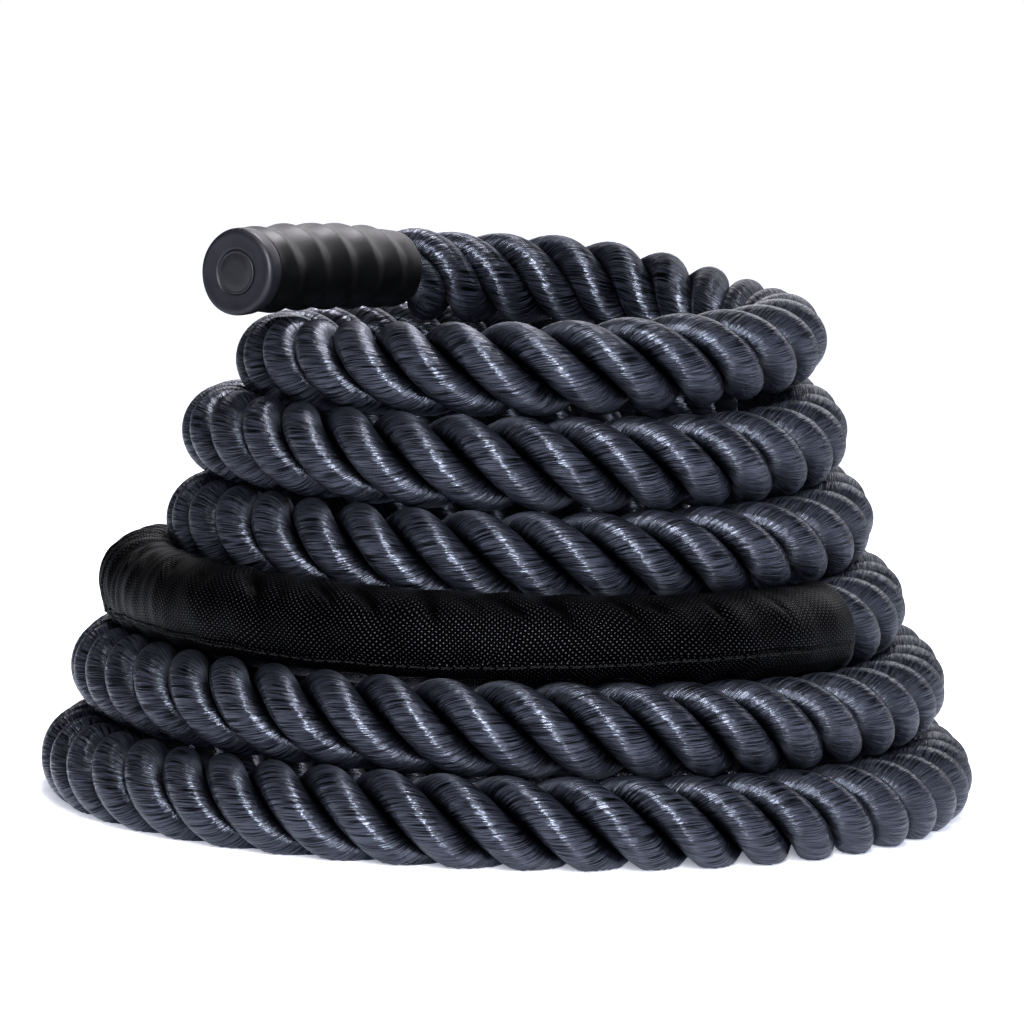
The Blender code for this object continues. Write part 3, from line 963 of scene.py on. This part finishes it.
def stitchLeg(row, side):
    # Rings of one leg, from the chain's middle line out to one side of it or back.
    stitch, place, forward = stitchShape, sleeveLay["place"], sleeveLay["forward"]
    sides = np.arange(stitch["sides"]) * 2 * math.pi / stitch["sides"]
    rings = []
    for step in np.linspace(0, 1, stitch["rings"]):
        here = min(row + round(step * stitch["length"] / sleeveShape["ringStep"]), len(place) - 1)
        angle = seamEdge[here] + 0.10 + side * (1 - step) * stitch["legs"] / sleeveShape["radius"]
        way = turnedWay(angle, sleeveLay["out"][here], sleeveLay["low"][here])
        base = sleeveLay["radius"][here, int(round(ringIndex(angle))) % sleeveShape["around"]]
        lift = seamShape["thickness"] * 0.9 + stitch["arch"] * math.sin(math.pi * step)
        middle = place[row] + forward[row] * step * stitch["length"] + way * (base + lift)
        thick = stitch["radius"] * math.sin(math.pi * (0.12 + 0.76 * step)) ** 0.5
        rings.append(middle + thick * turnedWay(sides, way, np.cross(forward[here], way)))
    return np.vstack(rings)


def makeStitches():
    stitch, distances = stitchShape, sleeveLay["distances"]
    legs = []
    centre = distances[0] + 0.004
    while centre < distances[0] + sleeveShape["length"] - 0.006:
        row = int(np.argmin(np.abs(distances - centre)))
        legs += [stitchLeg(row, -1), stitchLeg(row, 1)]
        centre += stitch["step"]
    starts = np.cumsum([0] + [len(leg) for leg in legs[:-1]])
    quads = [gridQuads(stitch["rings"], stitch["sides"], start) for start in starts]
    stitches = newMesh("seamStitches", np.vstack(legs), np.vstack(quads), threadMaterial())
    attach(stitches, "root")
    print("seam:", len(legs) // 2, "stitches")


makeStitches()


# Rubber grips, each with one ridge wound as a right-hand spiral

gripRubber = rubberMaterial("grip rubber")
capRubber = rubberMaterial("cap rubber")
badgeFace = rubberMaterial("blank badge")

# Profiles of the moulded end and its disc, from the closed end inwards.
capShape = {
    "thickness": 0.012,
    "seat": 0.0003,
    "lip": 0.0032,
    "recess": 0.0128,
    "recessDepth": 0.0016,
    "recessWall": ((0.0010, 0.0001), (0.0006, 0.0005), (0.0005, 0.0012)),  # distance, step out from the recess
    "dish": 0.0005,
    "back": ((0.0060, 0), (0.0085, 0.0001), (0.0104, 0.0004), (0.0114, 0.0011), (0.0116, 0.0030)),
    "badge": 0.0123,
    "badgeThickness": 0.0009,
    # distance, share of the radius
    "badgeFace": ((0.0001, 0), (0, 0.5), (0.0001, 0.84), (0.00025, 0.86), (0.00025, 0.89), (0, 0.91),
                  (0.0001, 0.975), (0.0004, 1)),
}


def turnedPiece(name, rings, axis, material, extra=None):
    # rings: (distance, radius) from the closed end; extra(distance, angle) adds height.
    base, way, lift, bow = axis
    segments = gripShape["segments"]
    side = unitRows(np.cross(way, (0, 0, 1)))
    up = np.cross(side, way)
    angles = 2 * math.pi * np.arange(segments) / segments
    ways = turnedWay(angles, side, up)
    points = []
    for distance, radius in rings:
        spread = np.full(segments, float(radius))
        if extra and radius > 0.001:
            spread += extra(distance, angles)
        raised = base + way * distance + up * (lift + bow * math.sin(math.pi * distance / gripShape["length"]))
        points.append(raised + ways * spread[:, None])
    piece = newMesh(name, np.vstack(points), gridQuads(len(points), segments), material)
    weldEnds(piece)
    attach(piece, "root")
    return piece


def ridgeAt(distance, angles):
    # Rises slowly, turns over a crest, then drops quickly towards the mouth.
    turn = (distance / gripShape["ridgePitch"] + angles / (2 * math.pi)) % 1
    drop = gripShape["ridgeDrop"]
    falling = 0.5 + 0.5 * np.cos(math.pi * np.clip(turn / drop, 0, 1))
    rising = np.clip((turn - drop) / (1 - drop), 0, 1) ** 1.5
    return np.where(turn < drop, falling, rising)


def gripRings(first, bodyEnd):
    # The outside from the moulded end to the mouth, then the bore back from it.
    shape = gripShape
    length, taperLength, mouthRadius = shape["length"], shape["taperLength"], shape["mouthRadius"]

    def bodyRadius(distance):
        blend = min(distance / shape["ridgePitch"], 1)
        straight = shape["endRadius"] - shape["ridgeHeight"] + (shape["radius"] - shape["endRadius"]) * blend
        tapered = max(distance - length + taperLength, 0) / (taperLength - shape["lipLength"])
        return straight - shape["taper"] * min(tapered, 1)

    body = np.linspace(first, bodyEnd, round((bodyEnd - first) / shape["ringStep"]))
    outside = [(float(distance), bodyRadius(distance)) for distance in body]
    # The lip rounds over into the mouth.
    last, narrowest = bodyRadius(bodyEnd), mouthRadius - 0.0014
    for step in np.linspace(0.12, 1, 9):
        outside.append((bodyEnd + shape["lipLength"] * 0.9 * step, last + (narrowest - last) * step**3))
    narrow, wide = mouthRadius - shape["wall"], shape["radius"] - shape["ridgeHeight"] - shape["wall"]
    inside = [(length, mouthRadius - 0.0006), (length - 0.0009, narrow), (length - 0.008, narrow)]
    return outside, inside + [(length - taperLength, wide), (first, wide)]


def capRings():
    # Dished face, rolled lip, shallow recess.
    cap, radius = capShape, gripShape["endRadius"]
    lip, recess, deep, dish = cap["lip"], cap["recess"], cap["recessDepth"], cap["dish"]
    face = [(deep, 0), (deep, recess - 0.0005), (deep - 0.0004, recess)]
    face += [(distance, recess + out) for distance, out in cap["recessWall"]]
    rim = face[-1][1]
    for step in np.linspace(0.15, 1, 7):
        face.append((dish * (1 - step**2), rim + (radius - lip - rim) * step))
    for angle in math.pi / 2 * np.linspace(0.1, 1, 11):
        face.append((lip * (1 - math.cos(angle)), radius - lip + lip * math.sin(angle)))
    face += [(distance, radius - inward) for distance, inward in cap["back"]]
    return face + [(face[-1][0], 0)]


def badgeRings():
    cap = capShape
    high = cap["recessDepth"] - cap["seat"] - cap["badgeThickness"]
    disc = [(high + distance, cap["badge"] * share) for distance, share in cap["badgeFace"]]
    return disc + [(high + cap["badgeThickness"], cap["badge"]), (high + cap["badgeThickness"], 0)]


def makeGrip(place, mouth, way):
    shape = gripShape
    lift, bow = (shape["lift"], shape["bow"]) if place == "top" else (0, 0)
    axis = (mouth + way * shape["length"], -way, lift, bow)
    first = capShape["thickness"] + capShape["seat"]
    bodyEnd = shape["length"] - shape["lipLength"]

    def relief(distance, angles):
        fade = easedOver(bodyEnd - distance, 0.014) * easedOver(distance - first + 0.006, 0.012)
        soft = 0.00018 * np.sin(3 * angles + distance * 70) + 0.00012 * np.sin(5 * angles - distance * 160 + 1)
        return shape["ridgeHeight"] * (ridgeAt(distance, angles) * fade + 0.45 * (1 - fade)) + soft

    def worn(distance, angles):
        oval = 0.00022 * np.sin(2 * angles + 0.7)
        return oval + 0.00016 * np.sin(3 * angles + 2.2) + 0.0001 * np.sin(5 * angles)

    outside, inside = gripRings(first, bodyEnd)
    skin = turnedPiece("gripRubber_" + place, outside, axis, gripRubber, relief)
    bore = turnedPiece("gripBore_" + place, inside, axis, gripRubber)
    for item in (skin, bore):
        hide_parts("grip_" + place)

    end = turnedPiece("gripEnd_" + place, capRings(), axis, capRubber, worn)
    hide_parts("end_cap_" + place)

    badge = turnedPiece("gripBadge_" + place, badgeRings(), axis, badgeFace)
    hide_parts("badge_" + place)


for gripPlace, (mouthPoint, mouthWay) in ropeLay["mouths"].items():
    makeGrip(gripPlace, mouthPoint, mouthWay)
print("grips: two, with ends and blank badges")


# Floor, light and camera

stageLook = {
    "floorColor": (0.90, 0.90, 0.93),
    "floorReach": 14,
    "floorTints": ((0.36, 0.56, 1), (0.84, 0.87, 1)),  # for the rope, for the eye
    "floorGlow": (0.15, 0.06, 0.52, 1.0),  # for the rope, within the coil, beside it, far from it; less within and beside the coil as a painted shadow
    "glowPlaces": ((0.19, 0.27), (0.30, 0.75)),  # from within to beside, from beside to far
    "surround": 0.03,
    "sky": {"strength": 0.75, "spread": 50, "place": (0.1, -1.2, 3.0)},
    # power, size, place, colour
    "lights": {
        "front": (164, (0.35, 1.9), (0.05, -2.60, 1.25), (0.92, 0.945, 1)),
        "side": (12, (0.12, 1.5), (0.95, -2.40, 1.20), (0.84, 0.90, 1)),
        "rear": (23, (3.2, 1.1), (0.75, 1.65, 1.30), (0.97, 0.96, 1)),
        "right": (20, (1.2, 1.4), (2.1, -0.6, 0.8), (0.62, 0.74, 1)),
        "left": (7, (1.2, 1.4), (-2.1, -0.6, 0.9), (1, 0.96, 0.92)),
        "grip": (0.42, (0.34, 0.26), (-0.02, 0.12, 0.64), (0.98, 0.94, 1)),
    },
    "aim": (0, 0, 0.15),
    "gripAim": (-0.115, -0.02, 0.29),
    "gripSpread": 40,
    "notReflected": ("right", "left"),
    "eye": (-0.001715, -2.68456, 0.39985),
    "lens": 165.56,
    "pitch": 4.996,
    "roll": 1.706,
}


def placeAt(item, side, up, away, place):
    matrix = np.eye(4)
    matrix[:3, 0], matrix[:3, 1], matrix[:3, 2], matrix[:3, 3] = side, up, away, place
    scene.collection.objects.link(item)
    item.matrix_world = Matrix(matrix.tolist())


def aimAt(item, place, target):
    away = unitRows(np.array(place, float) - np.array(target, float))
    side = unitRows(np.cross((0, 0, 1), away))
    placeAt(item, side, np.cross(away, side), away, place)


def floorMaterial():
    look = stageLook
    material, tree, shader = newMaterial("pale floor")
    # The floor glows: white to the eye, and dim and bluish on the black rope as a painted bluish fill light.
    seen = tree.nodes.new("ShaderNodeLightPath").outputs["Is Camera Ray"]
    fromMiddle = tree.nodes.new("ShaderNodeVectorMath")
    fromMiddle.operation = "LENGTH"
    tree.links.new(tree.nodes.new("ShaderNodeTexCoord").outputs["Object"], fromMiddle.inputs[0])
    distance = fromMiddle.outputs["Value"]
    dim, within, beside, far = look["floorGlow"]
    nearPlaces, farPlaces = look["glowPlaces"]
    # Painted shadow: the glow falls off beside the coil and nearly goes within it.
    inside = remapped(tree, distance, *nearPlaces, within, beside)
    shown = added(tree, inside, remapped(tree, distance, *farPlaces, 0.0, far - beside))
    feed(tree, shader.inputs, {
        "Base Color": look["floorColor"],
        "Roughness": 0.9,
        "Specular IOR Level": 0.1,
        "Emission Color": blended(tree, seen, *look["floorTints"]),
        "Emission Strength": remapped(tree, seen, 0, 1, dim, shown),
    })
    return material


def makeStage():
    look, reach = stageLook, stageLook["floorReach"]
    corners = [(-reach, -reach, 0), (reach, -reach, 0), (reach, reach, 0), (-reach, reach, 0)]
    floor = newMesh("floor", corners, [(0, 1, 2, 3)], floorMaterial())

    world = bpy.data.worlds.new("studio")
    world.use_nodes = True
    tree = world.node_tree
    seen = tree.nodes.new("ShaderNodeLightPath").outputs["Is Camera Ray"]
    strength = remapped(tree, seen, 0, 1, look["surround"], 1.0)
    feed(tree, tree.nodes["Background"].inputs, {"Color": (1, 1, 1), "Strength": strength})
    scene.world = world

    # A wide soft light overhead whitens the whole floor, a tall strip at the front draws the rope's shine.
    sky = bpy.data.lights.new("overhead", "SUN")
    sky.energy = look["sky"]["strength"]
    sky.angle = math.radians(look["sky"]["spread"])
    aimAt(bpy.data.objects.new("overhead", sky), look["sky"]["place"], (0, 0, 0))
    for name, (power, size, place, color) in look["lights"].items():
        light = bpy.data.lights.new(name, "AREA")
        light.shape = "RECTANGLE"
        light.size, light.size_y = size
        light.energy, light.color = power, color
        light.spread = math.radians(look["gripSpread"] if name == "grip" else 180)
        lamp = bpy.data.objects.new(name, light)
        lamp.visible_glossy = name not in look["notReflected"]
        lamp.visible_camera = False
        aimAt(lamp, place, look["gripAim" if name == "grip" else "aim"])


def makeCamera():
    pitch, roll = math.radians(stageLook["pitch"]), math.radians(stageLook["roll"])
    across = np.array([1, 0, 0])
    upright = np.array([0, math.sin(pitch), math.cos(pitch)])
    behind = np.array([0, -math.cos(pitch), math.sin(pitch)])
    side = across * math.cos(roll) + upright * math.sin(roll)
    up = upright * math.cos(roll) - across * math.sin(roll)
    optics = bpy.data.cameras.new("camera")
    optics.lens = stageLook["lens"]
    optics.sensor_width = 36
    optics.clip_end = 60
    scene.camera = bpy.data.objects.new("camera", optics)
    placeAt(scene.camera, side, up, behind, stageLook["eye"])


makeStage()
makeCamera()
scene.view_settings.view_transform = "Standard"
